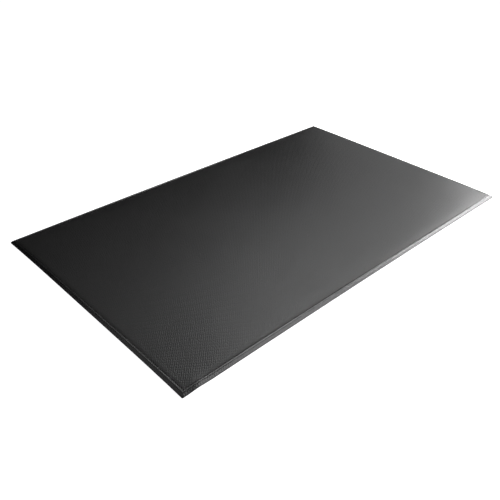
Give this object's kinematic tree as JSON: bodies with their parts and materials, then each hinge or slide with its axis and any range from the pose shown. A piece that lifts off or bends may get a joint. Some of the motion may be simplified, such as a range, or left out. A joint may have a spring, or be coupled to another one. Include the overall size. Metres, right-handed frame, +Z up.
{
  "type": "anti-fatigue mat",
  "caption": "Flat rectangular standing mat: embossed vinyl top bonded to a foam cushion, inside a mitred border that slopes down to the floor, on a grippy backing.",
  "frame": {"origin": "centre of the rectangle that the mat rests on, at floor level", "axes": "+X along the mat's length, +Y along its width away from the front edge, +Z up out of the standing surface"},
  "size_m": [1.524, 0.914, 0.0095],
  "materials": {
    "embossed_vinyl": "satin charcoal-black vinyl with a fine pebble emboss",
    "border_vinyl": "satin charcoal-black vinyl, lightly grained",
    "weld_bead": "melted vinyl bead, slightly glossy",
    "cushion_foam": "closed-cell foam, matt",
    "adhesive_film": "thin translucent adhesive film",
    "backing_rubber": "matt black rubber with a grip emboss"
  },
  "bodies": {
    "root": {"wear_sheet": "embossed_vinyl", "upper_bond_film": "adhesive_film", "foam_core": "cushion_foam", "lower_bond_film": "adhesive_film", "backing_sheet": "backing_rubber", "border_strip_front": "border_vinyl", "border_strip_right": "border_vinyl", "border_strip_back": "border_vinyl", "border_strip_left": "border_vinyl", "seam_weld": "weld_bead"}
  },
  "joints": []
}
